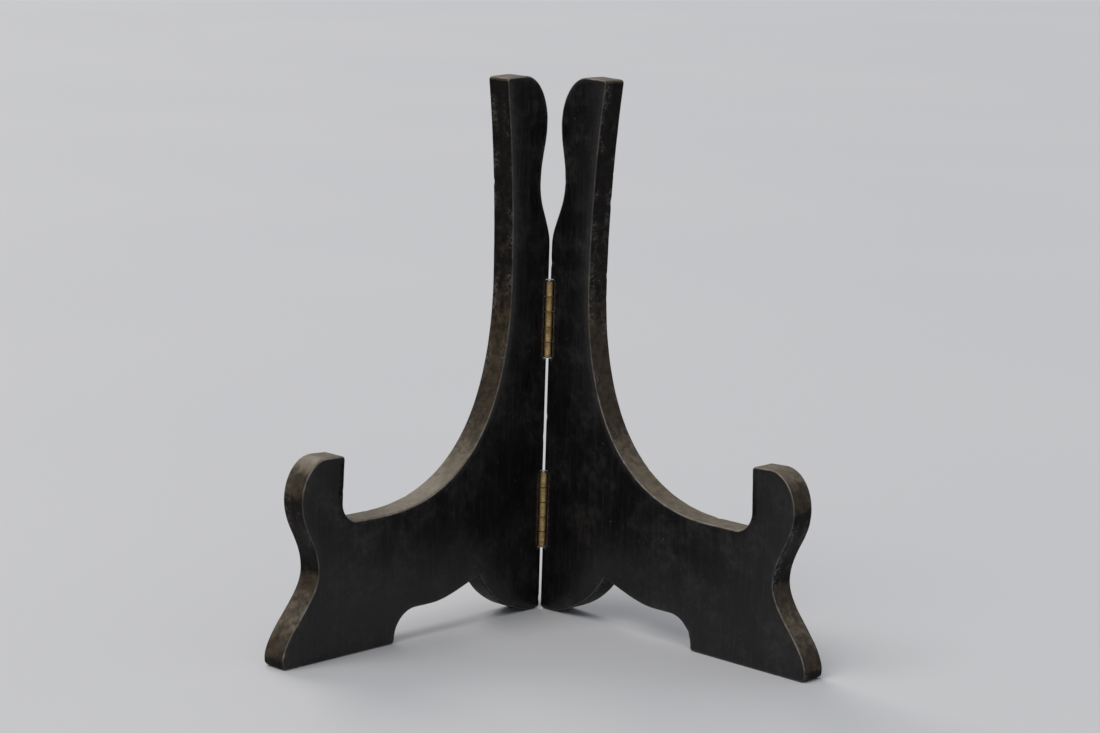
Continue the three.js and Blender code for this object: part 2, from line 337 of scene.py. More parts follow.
# Each material's noise has its own offset, so that no two share a pattern.
LACQUER_OFFSET = (4, 7, 5)
BRASS_OFFSET = (3, 1, 8)
SCREW_OFFSET = (5, 2, 4)
STEEL_OFFSET = (1, 9, 2)
SCRATCHES = [{"offset": LACQUER_OFFSET, "lean": 28}, {"offset": (9, 2, 6), "lean": -50}]
SPECK_SPACING = 3.2


def panel_attribute(tree, name):
    return add_node(tree, "ShaderNodeAttribute", {}, attribute_name=name).outputs["Fac"]


def dust_specks(tree, place):
    """1 in small round specks, and 0 between them. A cell's random colour says whether it has a speck."""
    cells = add_node(tree, "ShaderNodeTexVoronoi", {"Vector": place, "Scale": 1 / SPECK_SPACING})
    dot = ranged(tree, cells.outputs["Distance"], 0.02, 0.065, 1, 0)
    return times(tree, dot, ranged(tree, cells.outputs["Color"], 0.60, 0.64))


def scratches(tree, offset, lean):
    """1 along sparse fine scratches that lean this many degrees, and 0 between them."""
    along = object_coordinates(tree, offset, scale=(1, 1, 0.02), lean=lean)
    lines = ranged(tree, grain_noise(tree, along, 0.3, detail=0), 0.76, 0.82)
    patches = ranged(tree, grain_noise(tree, object_coordinates(tree, offset), 9, detail=1), 0.5, 0.62)
    return times(tree, lines, patches)


def edge_scuffs(tree, place):
    """Up to 0.8 in broken patches on a side wall, next to its arrises, where handling has rubbed it."""
    patches = ranged(tree, grain_noise(tree, place, 11), 0.48, 0.60)
    broken = ranged(tree, grain_noise(tree, place, 1.1, detail=5, roughness=0.75), 0.44, 0.66, 0, 0.8)
    return times(tree, panel_attribute(tree, "rubbed"), times(tree, patches, broken))


def lacquer_patterns(tree):
    """The lacquer's patterns from 0 to 1, and height, the upward part of the surface's normal."""
    place = object_coordinates(tree, LACQUER_OFFSET)
    along = object_coordinates(tree, LACQUER_OFFSET, scale=(1, 1, 0.05))
    normal = add_node(tree, "ShaderNodeNewGeometry", {}).outputs["Normal"]
    height = add_node(tree, "ShaderNodeSeparateXYZ", {0: normal}).outputs["Z"]
    mottle = grain_noise(tree, place, 2.6, detail=5, roughness=0.62)
    smears = ranged(tree, grain_noise(tree, place, 12, detail=5, roughness=0.6), 0.42, 0.7)
    return SimpleNamespace(
        height=height,
        mottle=mottle,
        side_wall=panel_attribute(tree, "side_wall"),
        # arris: the rubbed edges, weighted towards those that face up, which adds a painted highlight.
        arris=times(tree, panel_attribute(tree, "arris"), ranged(tree, height, -0.1, 0.5, 0.3, 1)),
        clouds=ranged(tree, grain_noise(tree, place, 22, detail=3), 0.3, 0.7),
        grain=grain_noise(tree, along, 1.1, detail=4, roughness=0.65),
        pores=ranged(tree, grain_noise(tree, along, 0.3, detail=1), 0.64, 0.76),
        fine=grain_noise(tree, place, 0.45),
        haze=times(tree, smears, ranged(tree, mottle, 0.38, 0.62, 0.25, 1)),
        worn=ranged(tree, grain_noise(tree, place, 5, detail=4, roughness=0.7), 0.4, 0.62, 0.45, 1),
        scuffs=edge_scuffs(tree, place),
        specks=dust_specks(tree, place),
        marks=combined(tree, "MAXIMUM", *(scratches(tree, **kind) for kind in SCRATCHES)),
    )


def lacquer_face(tree, look):
    """The broad faces: deep black, with the wood's grain just showing, dust haze and scratches."""
    black = mixed(tree, look.clouds, colour(0.0036, 0.0035, 0.0042), colour(0.0060, 0.0055, 0.0058))
    grain = ranged(tree, look.grain, 0.48, 0.72, 0, 0.6)
    black = mixed(tree, grain, black, colour(0.018, 0.0155, 0.0145))
    black = mixed(tree, times(tree, look.haze, 0.7), black, colour(0.032, 0.0285, 0.0255))
    return mixed(tree, times(tree, look.marks, 0.6), black, colour(0.06, 0.057, 0.053))


def lacquer_wall(tree, look):
    """The sawn edges: painted shade makes them nearly black where they face down, brown where they turn up,
    and beige on top, from dust and painted light from above.

    The mottling also breaks up the lines between these.
    """
    blotch = ranged(tree, look.mottle, 0.30, 0.70)
    # Painted shade: the walls' colour, nearly black where they face down.
    under = mixed(tree, blotch, colour(0.0030, 0.0026, 0.0026), colour(0.0100, 0.0078, 0.0064))
    upright = mixed(tree, blotch, colour(0.024, 0.0168, 0.0098), colour(0.061, 0.0442, 0.0262))
    # Dust and painted light: beige where the walls face up, as if lit from above.
    dust_and_painted_light = mixed(tree, blotch, colour(0.100, 0.080, 0.053), colour(0.175, 0.142, 0.096))
    height = combined(tree, "ADD", look.height, ranged(tree, look.mottle, 0.3, 0.7, -0.05, 0.05))
    wall = mixed(tree, ranged(tree, height, -0.05, 0.16), under, upright)
    wall = mixed(tree, ranged(tree, height, 0.48, 0.80), wall, dust_and_painted_light)
    return mixed(tree, ranged(tree, look.fine, 0.55, 0.8, 0, 0.3), wall, colour(0.075, 0.062, 0.048))


def lacquer_colour(tree, look):
    shown = mixed(tree, look.side_wall, lacquer_face(tree, look), lacquer_wall(tree, look))
    shown = mixed(tree, look.scuffs, shown, colour(0.135, 0.124, 0.112))
    # Rubbed wear on the arrises, lighter where they face up as a painted highlight.
    shown = mixed(tree, times(tree, look.arris, look.worn), shown, colour(0.275, 0.245, 0.205))
    return mixed(tree, times(tree, look.specks, 0.55), shown, colour(0.36, 0.35, 0.33))


def lacquer_roughness(tree, look):
    rough = ranged(tree, look.grain, 0.3, 0.7, 0.27, 0.35)
    changes = [(look.haze, 0.14), (look.side_wall, 0.14), (look.arris, -0.10)]
    changes += [(look.specks, 0.3), (look.marks, 0.1)]
    for layer, change in changes:
        rough = combined(tree, "ADD", rough, times(tree, layer, change))
    return rough


def lacquer_specular(tree, look):
    """Even on the faces. On the sawn edges it is weaker, and weakest where they face down."""
    wall = ranged(tree, look.height, -0.1, 0.6, 0.06, 0.22)
    return add_node(tree, "ShaderNodeMix", {0: look.side_wall, 2: 0.30, 3: wall}).outputs[0]


def lacquer_relief(tree, look):
    wall_grain = times(tree, look.mottle, look.side_wall)
    layers = [(look.grain, 0.035), (look.pores, -0.03), (wall_grain, 0.05)]
    layers += [(look.fine, 0.006), (look.specks, 0.03), (look.marks, -0.01)]
    return bumps(tree, layers)


def black_lacquer():
    """Satin black lacquer on wood: deep black on the faces, and browner and mottled on the edges.
    Painted shade darkens the edges where they face down, and dust with painted light lightens them on top.

    Its arrises are rubbed to a thin light line, with a painted highlight that is strongest where they face
    up.
    """
    material, tree, shader = new_material("black_lacquer")
    look = lacquer_patterns(tree)
    finish = {
        "Base Color": lacquer_colour(tree, look),
        "Roughness": lacquer_roughness(tree, look),
        "Specular IOR Level": lacquer_specular(tree, look),
        "Coat Weight": ranged(tree, look.side_wall, 0, 1, 0.10, 0.0),
        "Coat Roughness": 0.22,
        "Normal": lacquer_relief(tree, look),
    }
    set_inputs(tree, shader, finish)
    return material


def aged_brass():
    """Sheet brass, brushed along its length, with brown tarnish that is finely broken up."""
    material, tree, shader = new_material("aged_brass")
    place = object_coordinates(tree, BRASS_OFFSET)
    brushed = grain_noise(tree, object_coordinates(tree, BRASS_OFFSET, scale=(1, 1, 0.03)), 0.12)
    tarnish = ranged(tree, grain_noise(tree, place, 2.4, detail=6, roughness=0.72), 0.38, 0.74)
    spots = ranged(tree, grain_noise(tree, place, 0.5, detail=3), 0.6, 0.72)
    metal = mixed(tree, tarnish, colour(0.53, 0.375, 0.160), colour(0.24, 0.158, 0.070))
    rough = ranged(tree, tarnish, 0, 1, 0.27, 0.48)
    finish = {
        "Base Color": mixed(tree, times(tree, spots, 0.6), metal, colour(0.12, 0.085, 0.045)),
        "Roughness": combined(tree, "ADD", rough, ranged(tree, brushed, 0.3, 0.7, 0, 0.1)),
        "Metallic": 1,
        "Normal": bumps(tree, [(brushed, 0.008), (tarnish, -0.01), (spots, -0.01)]),
    }
    set_inputs(tree, shader, finish)
    return material


def turned_brass():
    """Screw brass: turned, and a little brighter than the leaves."""
    material, tree, shader = new_material("turned_brass")
    place = object_coordinates(tree, SCREW_OFFSET)
    spots = ranged(tree, grain_noise(tree, place, 0.9, detail=4, roughness=0.6), 0.45, 0.7)
    turning = grain_noise(tree, object_coordinates(tree, SCREW_OFFSET, scale=(1, 0.08, 1)), 0.09)
    finish = {
        "Base Color": mixed(tree, spots, colour(0.64, 0.46, 0.20), colour(0.34, 0.225, 0.095)),
        "Roughness": ranged(tree, spots, 0, 1, 0.24, 0.42),
        "Metallic": 1,
        "Normal": bumps(tree, [(turning, 0.005), (spots, -0.006)]),
    }
    set_inputs(tree, shader, finish)
    return material


def dull_steel():
    """The hinge pins' drawn steel wire, with a grey bloom."""
    material, tree, shader = new_material("dull_steel")
    place = object_coordinates(tree, STEEL_OFFSET)
    bloom = ranged(tree, grain_noise(tree, place, 0.8, detail=4, roughness=0.6), 0.4, 0.7)
    drawn = grain_noise(tree, object_coordinates(tree, STEEL_OFFSET, scale=(1, 1, 0.04)), 0.08)
    finish = {
        "Base Color": mixed(tree, bloom, colour(0.42, 0.42, 0.41), colour(0.22, 0.21, 0.20)),
        "Roughness": ranged(tree, bloom, 0, 1, 0.28, 0.5),
        "Metallic": 1,
        "Normal": bumps(tree, [(drawn, 0.004)]),
    }
    set_inputs(tree, shader, finish)
    return material


def pale_floor():
    material, tree, shader = new_material("pale_floor")
    place = object_coordinates(tree, (0, 0, 0))
    clouds = ranged(tree, grain_noise(tree, place, 400, detail=1), 0.3, 0.7)
    finish = {
        "Base Color": mixed(tree, clouds, colour(0.615, 0.622, 0.642), colour(0.627, 0.633, 0.650)),
        "Roughness": 0.75,
        "Normal": bumps(tree, [(grain_noise(tree, place, 1.2), 0.02)]),
    }
    set_inputs(tree, shader, finish)
    return material


# ---- Panel outline -------------------------------------------------------------------------------------

SHARP_TURN = math.radians(30)  # the outline stays sharp where it turns by more than this
SPACING = 0.6  # between points of the fine outline
TURN_SPACING = math.radians(7)
SHORTEST_STEP = 1e-6  # points nearer than this are the same point
ROUNDING_POINTS = 7  # on the curve that takes a slight corner's place


def cad_outline(node, side):
    """The CAD panel's outline as (forward, up) points, and the across positions of its two faces.

    The outline is the rim between the panel's side wall and the eased edge of its outer face.
    """
    points = np.round(node_points(node, side), 2)
    levels = np.unique(points[:, 1])
    keys = [tuple(point) for point in points]
    neighbours = {}
    for edge in frame["nodes"][node].data.edges:
        a, b = (keys[index] for index in edge.vertices)
        if a != b and a[1] == b[1] == levels[-2]:
            neighbours.setdefault(a, set()).add(b)
            neighbours.setdefault(b, set()).add(a)
    start = min(neighbours, key=lambda point: (point[2], point[0]))
    loop = [start, max(neighbours[start])]
    while loop[-1] != start:
        onward = neighbours[loop[-1]] - {loop[-2]}
        loop.append(onward.pop())
    return np.array([(x, z) for x, _, z in loop[:-1]]), levels[0], levels[-1]


def resampled(run):
    """A run of curve points, spaced evenly by length and turning together, without its last point."""
    run = np.array(run)
    step = np.diff(run, axis=0)
    length = np.linalg.norm(step, axis=1)
    moved = length > SHORTEST_STEP
    run = run[np.concatenate([[True], moved])]
    step, length = step[moved], length[moved]
    heading = np.unwrap(np.arctan2(step[:, 1], step[:, 0]))
    turn = np.abs(np.diff(heading, prepend=heading[0]))
    cost = np.concatenate([[0], np.cumsum(length / SPACING + turn / TURN_SPACING)])
    at = np.linspace(0, cost[-1], math.ceil(cost[-1]) + 1)[:-1]
    return np.column_stack([np.interp(at, cost, run[:, 0]), np.interp(at, cost, run[:, 1])])


def smooth_outline(corners):
    """The faceted outline as a fine smooth curve, sharp only at its real corners.

    A slight corner becomes a quadratic curve between points on its two sides, so straight lines stay
    straight.
    """
    ahead = np.roll(corners, -1, axis=0) - corners
    heading = np.arctan2(ahead[:, 1], ahead[:, 0])
    turn = np.angle(np.exp(1j * (heading - np.roll(heading, 1))))
    first = int(np.argmax(np.abs(turn)))
    corners, turn = np.roll(corners, -first, axis=0), np.roll(turn, -first)
    runs = []
    for index, corner in enumerate(corners):
        if index == 0 or abs(turn[index]) > SHARP_TURN:
            if runs:
                runs[-1].append(corner)
            runs.append([corner])
            continue
        back = corners[index - 1] - corner
        onward = corners[(index + 1) % len(corners)] - corner
        reach = min(np.linalg.norm(back), np.linalg.norm(onward)) / 2
        start = corner + back / np.linalg.norm(back) * reach
        end = corner + onward / np.linalg.norm(onward) * reach
        for t in np.linspace(0, 1, ROUNDING_POINTS):
            runs[-1].append((1 - t) ** 2 * start + 2 * t * (1 - t) * corner + t**2 * end)
    runs[-1].append(corners[0])
    return np.vstack([resampled(run) for run in runs])


# ---- Panels --------------------------------------------------------------------------------------------

REAR_EDGE = extent("right_panel", 1)[0].x
LEAF_THICKNESS = 1
EDGE_RADIUS = 0.65  # the rounding of a panel's long edges
REAR_RADIUS = 0.15  # the crisper one, where the two panels meet
ARC_STEPS = 6
WALL_ROWS = 9  # on the flat of a side wall, between its rounded edges
FACE_STEP = 1.5  # between points on a broad face
RIM_CLEARANCE = 0.7 * FACE_STEP  # from these points to the face's rim
TRIANGLES_INSIDE = 1  # what delaunay_2d_cdt is asked for
FACE_MARGIN = 0.02  # within this of a broad face's plane, a vertex belongs to the face
WAVE = {"length": 30, "depth": 0.12}  # the unevenness of a hand-sanded face
RIPPLE = {"length": 3.2, "depth": 0.07}  # of a sawn and sanded edge
DENTS = {"count": 26, "radius": (0.8, 2.0), "depth": (0.06, 0.22)}
PANEL_SEED = 5
LEAF_CLEARANCE = 0.15  # round a leaf in its seat
BARREL_CLEARANCE = 0.35  # round the barrel
PIN_CLEARANCE = 0.15  # round the heads of the pin, and beyond them
PILOT_RADIUS = 0.97
PILOT_CLEARANCE = 0.5  # beyond the screw's point
ROOM_SEGMENTS = 96
PILOT_SEGMENTS = 24
BEYOND = 1  # how far a cutter starts outside what it cuts


def edge_rows(inner, outer, inner_radius, outer_radius):
    """(inset, across) pairs from the inner face, round the edge of a panel, to the outer face."""
    quarter = [(1 - math.sin(a), 1 - math.cos(a)) for a in np.linspace(0, math.pi / 2, ARC_STEPS + 1)]
    near = [(inner_radius * inset, inner + inner_radius * rise) for inset, rise in quarter]
    far = [(outer_radius * inset, outer - outer_radius * rise) for inset, rise in reversed(quarter)]
    low, high = near[-1][1], far[0][1]
    flush = np.zeros_like(low)
    wall = [(flush, low + (high - low) * k / WALL_ROWS) for k in range(1, WALL_ROWS)]
    return near + wall + far


def points_inside(rim):
    """Points on a triangular grid inside a rim, clear of it.

    A point is inside when the rim crosses its level an odd number of times on one side of it.
    """
    low, high = rim.min(axis=0), rim.max(axis=0)
    row_step = FACE_STEP * math.sqrt(3) / 2
    grid = []
    for row in range(1, int((high[1] - low[1]) / row_step)):
        shift = (row % 2) * FACE_STEP / 2
        grid += [(x + shift, low[1] + row * row_step) for x in np.arange(low[0], high[0], FACE_STEP)]
    grid = np.array(grid)
    after = np.roll(rim, -1, axis=0)
    above = (rim[:, 1] > grid[:, 1:]) != (after[:, 1] > grid[:, 1:])
    rise = after[:, 1] - rim[:, 1]
    rise[rise == 0] = 1
    crossing = rim[:, 0] + (grid[:, 1:] - rim[:, 1]) / rise * (after[:, 0] - rim[:, 0])
    inside = np.sum(above & (grid[:, :1] < crossing), axis=1) % 2 == 1
    grid = grid[inside]
    gap = np.min(np.linalg.norm(grid[:, None] - rim[None], axis=2), axis=1)
    return grid[gap > RIM_CLEARANCE]


def fill_face(bm, ring):
    """Closes a ring of vertices with a flat, evenly triangulated face."""
    across = ring[0].co.y
    rim = np.array([(v.co.x, v.co.z) for v in ring])
    points = [Vector(point) for point in np.vstack([rim, points_inside(rim)])]
    sides = [(k, (k + 1) % len(ring)) for k in range(len(ring))]
    filled = delaunay_2d_cdt(points, sides, [], TRIANGLES_INSIDE, SHORTEST_STEP)
    places, _, triangles, origins, _, _ = filled
    verts = []
    for place, origin in zip(places, origins):
        on_ring = [k for k in origin if k < len(ring)]
        verts.append(ring[on_ring[0]] if on_ring else bm.verts.new((place.x, across, place.y)))
    for triangle in triangles:
        bm.faces.new([verts[k] for k in triangle])


def slab(outline, inner, outer):
    """The board: its outline with rounded long edges, between its two faces."""
    bm = bmesh.new()
    inward = inward_normals(outline)
    forward = np.clip((outline[:, 0] - REAR_EDGE) / (2 * EDGE_RADIUS), 0, 1)
    inner_radius = REAR_RADIUS + (EDGE_RADIUS - REAR_RADIUS) * forward
    rings = []
    for inset, across in edge_rows(inner, outer, inner_radius, np.full_like(forward, EDGE_RADIUS)):
        places = outline + inward * inset[:, None]
        rings.append([bm.verts.new((x, y, z)) for (x, z), y in zip(places, across)])
    for low, high in zip(rings, rings[1:]):
        for k in range(len(low)):
            bm.faces.new((low[k - 1], low[k], high[k], high[k - 1]))
    fill_face(bm, rings[0])
    fill_face(bm, rings[-1])
    bmesh.ops.recalc_face_normals(bm, faces=bm.faces)
    return bm


def unevenness(bm, length, depth, offset):
    """How far each vertex lies below the surface, from 0 to depth, in waves of about this length."""
    return depth * np.array([0.5 + 0.5 * noise.noise(v.co / length + offset) for v in bm.verts])


def add_knocks(depth, places, outline, inner, outer, rng):
    """Adds small dents along the panel's long edges to the depth at each place."""
    for _ in range(DENTS["count"]):
        x, z = outline[rng.integers(len(outline))]
        across = inner if rng.random() < 0.5 else outer
        radius = rng.uniform(*DENTS["radius"])
        deepest = rng.uniform(*DENTS["depth"])
        distance = np.linalg.norm(places - (x, across, z), axis=1)
        depth += deepest * np.maximum(0, 1 - (distance / radius) ** 2) ** 2


def wear(bm, outline, inner, outer, seed):
    """Hand-made unevenness and small knocks. Every vertex only moves inward, so the board never grows."""
    bm.normal_update()
    offset = Vector((seed * 7.3, seed * 3.1, 0))  # each panel has its own stretch of noise
    places = np.array([v.co for v in bm.verts])
    on_edge = np.minimum(places[:, 1] - inner, outer - places[:, 1]) > FACE_MARGIN
    depth = unevenness(bm, **WAVE, offset=offset) + unevenness(bm, **RIPPLE, offset=offset) * on_edge
    add_knocks(depth, places, outline, inner, outer, np.random.default_rng(seed))
    for vertex, move in zip(bm.verts, depth):
        vertex.co -= vertex.normal * move


def hinge_cutters(hinge, name, side):
    """What is cut away for one hinge leaf: its seat, the room round its barrel, and its pilot holes."""
    low, high = extent(f"{hinge}_hinge_{name}_leaf", side)
    barrel = -low.x
    seat = block(
        (-BEYOND, REAR_EDGE + LEAF_THICKNESS + LEAF_CLEARANCE),
        (-BEYOND, high.y + LEAF_CLEARANCE),
        (low.z - LEAF_CLEARANCE, high.z + LEAF_CLEARANCE),
    )
    pin_low, pin_high = extent(f"{hinge}_hinge_pin", side)
    wide, narrow = barrel + BARREL_CLEARANCE, -pin_low.x + PIN_CLEARANCE
    bottoms = pin_low.z - PIN_CLEARANCE, low.z - PIN_CLEARANCE
    tops = high.z + PIN_CLEARANCE, pin_high.z + PIN_CLEARANCE
    profile = [(0, bottoms[0]), (narrow, bottoms[0]), (narrow, bottoms[1]), (wide, bottoms[1])]
    profile += [(wide, tops[0]), (narrow, tops[0]), (narrow, tops[1]), (0, tops[1])]
    room = turned(profile, ROOM_SEGMENTS, Matrix.Identity(4))
    holes = []
    for end in SCREW_ENDS:
        low, high = extent(f"{hinge}_hinge_{name}_screw_{end}", side)
        middle = (low + high) / 2
        deep = high.x + PILOT_CLEARANCE
        profile = [(0, 0), (PILOT_RADIUS, 0), (PILOT_RADIUS, deep - PILOT_RADIUS), (0, deep)]
        place = Matrix.Translation((0, middle.y, middle.z)) @ FORWARD
        holes.append(turned(profile, PILOT_SEGMENTS, place))
    return seat, room, holes


def eased(value, low, high):
    """0 below low, 1 above high, and a smooth step between."""
    value = min(max((value - low) / (high - low), 0), 1)
    return value * value * (3 - 2 * value)


def mark_edges(bm, inner, outer):
    """Stores for the lacquer how far each vertex faces away from a panel's two faces.

    side_wall is 1 across the panel's thickness, and arris is 1 on its rounded or knocked edges. rubbed is 1
    on the side wall next to them, and 0 in its middle.
    """
    bm.normal_update()
    side_wall = bm.verts.layers.float.new("side_wall")
    arris = bm.verts.layers.float.new("arris")
    rubbed = bm.verts.layers.float.new("rubbed")
    for vertex in bm.verts:
        away = 1 - math.asin(min(abs(vertex.normal.y), 1)) / (math.pi / 2)
        vertex[side_wall] = eased(away, 0.15, 0.9)
        vertex[arris] = eased(away, 0.15, 0.35) * (1 - eased(away, 0.5, 0.8))
        to_edge = min(vertex.co.y - inner, outer - vertex.co.y)
        vertex[rubbed] = vertex[side_wall] * (1 - eased(to_edge, 1.0, 4.2))


def add_panel(name, side, material):
    node = f"{name}_panel"
    corners, inner, outer = cad_outline(node, side)
    outline = smooth_outline(corners)
    board = slab(outline, inner, outer)
    wear(board, outline, inner, outer, seed=PANEL_SEED + side)
    seats, rooms, holes = zip(*(hinge_cutters(hinge, name, side) for hinge in HINGES))
    board = boolean(board, together(seats), "DIFFERENCE")
    board = boolean(board, together(rooms), "DIFFERENCE")
    board = boolean(board, together(sum(holes, [])), "DIFFERENCE")
    mark_edges(board, inner, outer)
    add_piece(board, side, node, material)


# ---- Hinges --------------------------------------------------------------------------------------------

KNUCKLES = 5
KNUCKLE_GAP = 0.2
FIRST_KNUCKLE = {"left": 0, "right": 1}
BORE_RADIUS = 0.81
BORE_STEPS = 40
BARREL_STEPS = 56
ROLL_END = math.radians(84)  # where the rolled sheet stops, just short of the leaf
ROLL_INSET = 0.01  # the rolled strip is thinner than the plate by this on each side, so no faces coincide
SHEET_EASE = 0.09
CORNER_RADIUS = 0.4
CORNER_STEPS = 6
HEAD_CLEARANCE = 0.12  # round a screw's head in its countersink
COUNTERSINK_RIM = 0.03  # the straight part of a countersink
COUNTERSINK_SEGMENTS = 64
CONE_DEPTH = LEAF_THICKNESS - 0.1  # of the cone under a screw's head, below the leaf's face


def knuckle_outline(barrel, reach):
    """The leaf's sheet rolled round the pin, ending in a slit beside the leaf's rear surface."""
    near, far = REAR_EDGE + ROLL_INSET, REAR_EDGE + LEAF_THICKNESS - ROLL_INSET
    outline = [(near, reach)]
    outline += arc(BORE_RADIUS, math.acos(near / BORE_RADIUS), ROLL_END - 2 * math.pi, BORE_STEPS)
    outline += arc(barrel, ROLL_END - 2 * math.pi, math.acos(far / barrel), BARREL_STEPS)
    outline.append((far, reach))
    return outline


def rounded_rectangle(low, high, radius):
    outline = []
    for quarter, (right, top) in enumerate([(1, 1), (0, 1), (0, 0), (1, 0)]):
        centre_x = high[0] - radius if right else low[0] + radius
        centre_y = high[1] - radius if top else low[1] + radius
        corner = arc(radius, quarter * math.pi / 2, (quarter + 1) * math.pi / 2, CORNER_STEPS)
        outline += [(centre_x + dx, centre_y + dy) for dx, dy in corner]
    return outline


def leaf_plate(low, high, start):
    """The flat plate of a leaf that lies between two corners, from start outwards."""
    # The outline is drawn in z and y. FORWARD turns +X to -Z, and the plate's thickness to x.
    outline = rounded_rectangle((-high.z, start), (-low.z, high.y), CORNER_RADIUS)
    return prism(outline, REAR_EDGE, REAR_EDGE + LEAF_THICKNESS, SHEET_EASE, FORWARD)


def leaf_knuckles(low, high, first, barrel, reach):
    """Every other knuckle from the first, each with half a gap to the next. They reach into the plate."""
    length = (high.z - low.z) / KNUCKLES
    rolled = knuckle_outline(barrel, reach)
    knuckles = []
    for k in range(first, KNUCKLES, 2):
        bottom = low.z + k * length + (KNUCKLE_GAP / 2 if k > 0 else 0)
        top = low.z + (k + 1) * length - (KNUCKLE_GAP / 2 if k < KNUCKLES - 1 else 0)
        knuckles.append(prism(rolled, bottom, top, SHEET_EASE))
    return together(knuckles)


def countersink(screw_node, side):
    """What is cut out of a leaf for one screw."""
    low, high = extent(screw_node, side)
    middle = (low + high) / 2
    mouth = (high.z - low.z) / 2 + HEAD_CLEARANCE
    through = REAR_EDGE + LEAF_THICKNESS + BEYOND
    profile = [(0, -BEYOND), (mouth, -BEYOND), (mouth, REAR_EDGE + COUNTERSINK_RIM)]
    profile += [(PILOT_RADIUS, REAR_EDGE + CONE_DEPTH), (PILOT_RADIUS, through), (0, through)]
    return turned(profile, COUNTERSINK_SEGMENTS, Matrix.Translation((0, middle.y, middle.z)) @ FORWARD)


def add_leaf(hinge, name, side, material):
    """One hinge leaf: a countersunk plate let into the panel's rear edge, with rolled knuckles."""
    node = f"{hinge}_hinge_{name}_leaf"
    low, high = extent(node, side)
    barrel = -low.x
    start = barrel + BARREL_CLEARANCE
    knuckles = leaf_knuckles(low, high, FIRST_KNUCKLE[name], barrel, start + 2 * CORNER_RADIUS)
    leaf = boolean(leaf_plate(low, high, start), knuckles, "UNION")
    countersinks = [countersink(f"{hinge}_hinge_{name}_screw_{end}", side) for end in SCREW_ENDS]
    leaf = boolean(leaf, together(countersinks), "DIFFERENCE")
    add_piece(leaf, side, node, material)


PIN_RADIUS = 0.75
PIN_GAP = 0.05  # from the end knuckle to the pin's head
PIN_RIM = 0.12  # the eased corner under a pin's domed head
DOME_STEPS = 9
PIN_RINGS = 13
PIN_SEGMENTS = 48


def add_pin(hinge, material):
    """A hinge pin with a low domed head at each end."""
    node = f"{hinge}_hinge_pin"
    side = SIDES["left"]
    low, high = extent(node, side)
    leaf_low, leaf_high = extent(f"{hinge}_hinge_left_leaf", side)
    middle = (low.z + high.z) / 2
    half = (leaf_high.z - leaf_low.z) / 2 + PIN_GAP
    head_radius = (high.x - low.x) / 2
    crown = high.z - middle - half - PIN_RIM
    head = [(PIN_RADIUS, half), (head_radius - PIN_RIM, half)]
    for across, rise in arc(1, 0, math.pi / 2, DOME_STEPS):
        head.append((head_radius * max(across, 0), half + PIN_RIM + crown * rise))
    head[-1] = (0, half + PIN_RIM + crown)
    shaft = [(PIN_RADIUS, height) for height in np.linspace(-half, half, PIN_RINGS)[1:-1]]
    profile = [(radius, -height) for radius, height in reversed(head)] + shaft + head
    pin = turned(profile, PIN_SEGMENTS, Matrix.Translation((0, 0, middle)))
    add_piece(pin, side, node, material)


SHANK_RADIUS = 0.93  # over the thread's crests
PLAIN_RADIUS = SHANK_RADIUS - 0.08  # of the shank between the head and the thread
HEAD_RIM = [(-0.1, 0), (-0.02, 0.05), (0, 0.12)]  # a head's eased rim, as radius past the head's, and depth
THREAD_START = 2.6
THREAD_PITCH = 0.9
THREAD_DEPTH = 0.3  # of the shank's radius
THREAD_STEP = 0.12
PLAIN_END = THREAD_START - 0.1  # of the plain shank
POINT_GAP = 0.05  # the thread stops at least this far from the point
TAPER_START = 0.6  # of the screw's length
SCREW_SEGMENTS = 40
SLOT = {"width": 0.5, "depth": 0.45}


def thread(radius, height, angle):
    """A screw's radius round its axis, with the thread cut into the shank."""
    if height < THREAD_START:
        return radius
    phase = (height / THREAD_PITCH - angle / (2 * math.pi)) % 1
    return radius * (1 - THREAD_DEPTH * (1 - abs(2 * phase - 1) ** 2))


def screw_profile(head, top, point):
    """(radius, depth) pairs from the middle of the head, round its rim and along the shank, to the point."""
    profile = [(0, top)] + [(head + past, top + depth) for past, depth in HEAD_RIM]
    profile += [(PLAIN_RADIUS, REAR_EDGE + CONE_DEPTH), (PLAIN_RADIUS, PLAIN_END)]
    taper_start = top + TAPER_START * (point - top)
    for depth in np.arange(THREAD_START, point - POINT_GAP, THREAD_STEP):
        taper = max(0, (depth - taper_start) / (point - taper_start))
        profile.append((SHANK_RADIUS * math.sqrt(1 - taper), depth))
    return profile + [(0, point)]


def add_screw(hinge, name, side, end, slot_turn, material):
    """A countersunk slotted wood screw, its head flush with the leaf."""
    node = f"{hinge}_hinge_{name}_screw_{end}"
    low, high = extent(node, side)
    middle = (low + high) / 2
    head = (high.z - low.z) / 2
    screw = turned(screw_profile(head, low.x, high.x), SCREW_SEGMENTS, FORWARD, thread)
    reach = head + BEYOND
    slot = block((0, low.x + SLOT["depth"]), (-reach, reach), (-SLOT["width"] / 2, SLOT["width"] / 2))
    bmesh.ops.rotate(slot, matrix=Matrix.Rotation(slot_turn, 3, "X"), verts=slot.verts)
    screw = boolean(screw, slot, "DIFFERENCE")
    bmesh.ops.translate(screw, vec=(0, middle.y, middle.z), verts=screw.verts)
    add_piece(screw, side, node, material)


# ---- The stand -----------------------------------------------------------------------------------------

SLOT_SEED = 11


def add_stand():
    lacquer, brass, screw_brass, steel = black_lacquer(), aged_brass(), turned_brass(), dull_steel()
    rng = np.random.default_rng(SLOT_SEED)
    for name, side in SIDES.items():
        add_panel(name, side, lacquer)
        for hinge in HINGES:
            add_leaf(hinge, name, side, brass)
            for end in SCREW_ENDS:
                add_screw(hinge, name, side, end, rng.uniform(0, math.pi), screw_brass)
    for hinge in HINGES:
        add_pin(hinge, steel)


# ---- Floor, light and camera ---------------------------------------------------------------------------

FLOOR_HALF = 8  # metres
FLOOR_SEGMENTS = 24


